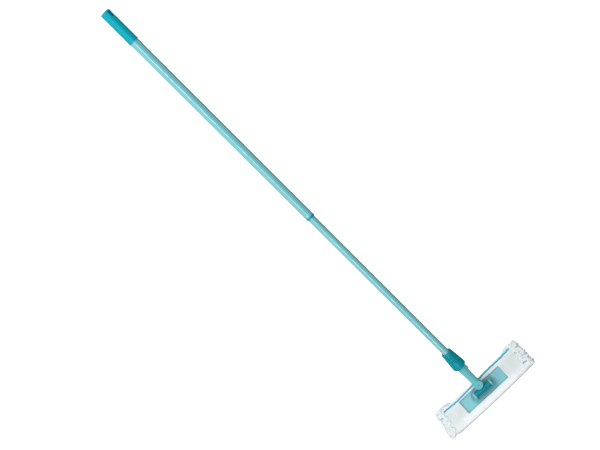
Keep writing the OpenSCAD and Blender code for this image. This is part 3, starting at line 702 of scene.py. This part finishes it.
def strands(root, lean, droop, length, radius):
    """Point = root + length * (t * lean - t^2 * droop down) + radius * (1 - 0.75 t^3) round it."""
    t = np.linspace(0, 1, RINGS)[None, :, None]
    upwards = np.array([0, 0, 1.0])
    sag = t * t * droop[:, None, None] * upwards
    middle = root[:, None] + length[:, None, None] * (t * lean[:, None] - sag)
    side = np.cross(lean, upwards)
    side /= np.linalg.norm(side, axis=1)[:, None]
    over = np.cross(side, lean)
    turn = np.arange(ROUND) * 2 * math.pi / ROUND
    ring = side[:, None] * np.cos(turn)[None, :, None] + over[:, None] * np.sin(turn)[None, :, None]
    size = radius[:, None, None, None] * (1 - 0.75 * t ** 3)[..., None]
    return (middle[:, :, None] + size * ring[:, None]).reshape(-1, 3)


def strand_faces(count):
    """The quads round every strand, and one flat face on each of its two ends."""
    index = np.arange(RINGS * ROUND).reshape(RINGS, ROUND)
    tube = grid_quads(np.concatenate([index, index[:, :1]], axis=1))
    start = (np.arange(count) * RINGS * ROUND)[:, None, None]
    quads = (tube[None] + start).reshape(-1, 4).tolist()
    root = (index[0][None] + start[:, 0]).tolist()
    tip = (index[-1][::-1][None] + start[:, 0]).tolist()
    return quads + root + tip


def build_fringe(side, seed, loops=130, threads=360):
    """Thick soft loops and thin threads, rooted in the last 24 mm of the pocket and leaning out."""
    dice = np.random.default_rng(seed)
    count = loops + threads
    thin = np.arange(count) >= loops
    y = dice.uniform(-1, 1, count) * 39 * MM + 1.5 * MM
    out = dice.random(count) ** 0.75
    x = end_x(side, y) - side * (25 - 20.5 * out + 2.5 * ~thin) * MM
    margin = np.where(thin, 1.5, 3.5) * MM
    y = np.clip(y, front_y(x) + margin, rear_y(x) - margin)
    z = cloth_top_z(x, y) - np.where(thin, 0.5, 1.2) * MM - out ** 3 * dice.random(count) * 4.5 * MM
    outwards = side * (0.8 + 0.4 * dice.random(count))
    sideways = dice.uniform(-0.45, 0.45, count) + y / (110 * MM)
    upwards = 0.30 - 0.3 * out + dice.uniform(-0.1, 0.12, count)
    lean = np.stack([outwards, sideways, upwards], -1)
    lean /= np.linalg.norm(lean, axis=1)[:, None]
    length = np.where(thin, dice.uniform(6, 12, count), dice.uniform(9, 14, count)) * MM
    radius = np.where(thin, dice.uniform(0.4, 0.75, count), dice.uniform(1.8, 2.9, count)) * MM
    droop = dice.uniform(0.15, 0.5, count)
    points = strands(np.stack([x, y, np.maximum(z, 4 * MM)], -1), lean, droop, length, radius)
    points[:, 2] = np.maximum(points[:, 2], 0.3 * MM)
    share = np.where(thin, 0.30, 0.07)
    teal = (dice.random(count) < share) * dice.uniform(0.6, 1, count)
    return points, strand_faces(count), np.repeat(teal, RINGS * ROUND)


for part, side, seed in (("fringe_left", -1, 21), ("fringe_right", 1, 22)):
    points, faces, teal = build_fringe(side, seed)
    piece = new_piece(part + "_strands", points, faces, fringe_finish)
    dyed = piece.data.attributes.new("dyed", "FLOAT", "POINT")
    dyed.data.foreach_set("value", teal.astype(np.float32))
    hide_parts(part)

# %% [markdown]
# ## Floor and light
# The stage is a plain white floor in soft studio light, with walls of the same paint so far off
# that no horizon shows from any side. The floor lies a hand's breadth under the wiper, because the
# head reaches down past its own sole when it turns. One large softbox stands to the left and
# a second hangs overhead. A narrow strip light stands nearly in front and follows the pole, so that
# its reflection runs down the tubes as one bright line. A black card on the right and a floor
# that throws no light back keep the round parts' right edges dark, as black cloth does in a
# studio. The card isn't seen, it only shows in reflections.
# %% Build the stage
def stage_plane(name, centre, facing, size, colour, rough):
    """A square of one size round a centre, with its normal along facing."""
    normal = Vector(facing).normalized()
    across = normal.orthogonal().normalized() * size / 2
    other = normal.cross(across)
    middle = Vector(centre)
    mesh = bpy.data.meshes.new(name)
    mesh.from_pydata([middle + across + other, middle - across + other, middle - across - other,
                      middle + across - other], [], [(0, 1, 2, 3)])
    made = bpy.data.objects.new(name, mesh)
    bpy.context.scene.collection.objects.link(made)
    paint, tree, shader = new_finish(name + "_paint", Roughness=rough)
    shader.inputs["Base Color"].default_value = linear(colour)
    mesh.materials.append(paint)
    return made


FAR = 45
FLOOR = -160 * MM
for name, centre in (("floor", (0, 0, FLOOR)), ("wall_front", (0, -FAR, 0)), ("wall_back", (0, FAR, 0)),
                     ("wall_left", (-FAR, 0, 0)), ("wall_right", (FAR, 0, 0))):
    facing = (0, 0, 1) if name == "floor" else -Vector(centre)
    plane = stage_plane(name, centre, facing, 2 * FAR, "#FDFDFD", 0.9)
    plane_shader = plane.active_material.node_tree.nodes["Principled BSDF"]
    plane_shader.inputs["Emission Color"].default_value = (1, 1, 1, 1)
    plane_shader.inputs["Emission Strength"].default_value = 0.5
    plane.visible_glossy = False
    plane.visible_diffuse = False
    plane.visible_shadow = name == "floor"
card = stage_plane("black_card", (0.4, 0.6, 0.8), (-1, 0, 0), 2.2, "#050505", 0.9)
card.visible_camera = False
card.visible_diffuse = False
card.visible_shadow = False
print("stage ready")

# %% Lights
def softbox(name, centre, towards, wide, tall, power):
    """A rectangular area light that faces a point, with its tall side turned to follow the pole."""
    facing = (Vector(centre) - Vector(towards)).normalized()
    tall_side = (POLE - POLE.dot(facing) * facing).normalized()
    wide_side = tall_side.cross(facing)
    made = bpy.data.objects.new(name, bpy.data.lights.new(name, "AREA"))
    bpy.context.scene.collection.objects.link(made)
    made.data.shape = "RECTANGLE"
    made.data.size = wide
    made.data.size_y = tall
    made.data.energy = power
    turn = Matrix((wide_side, tall_side, facing)).transposed().to_4x4()
    made.matrix_world = Matrix.Translation(Vector(centre)) @ turn
    return made


middle_of_pole = (0, 0.55, 0.5)
softbox("softbox_left", (-2.4, 2.0, 3.2), (0, 0.5, 0.3), 3.0, 3.0, 82)
softbox("softbox_over", (0.1, 0.9, 5.0), (0, 0.5, 0), 3.5, 3.5, 74)
softbox("strip_front", (-0.98, -1.56, 2.41), middle_of_pole, 0.14, 3.8, 42)
world = bpy.data.worlds.new("studio")
world.use_nodes = True
world.node_tree.nodes["Background"].inputs["Color"].default_value = (0.34, 0.345, 0.35, 1)
bpy.context.scene.world = world
bpy.context.scene.view_settings.view_transform = "Standard"
print("lights", len(bpy.data.lights))
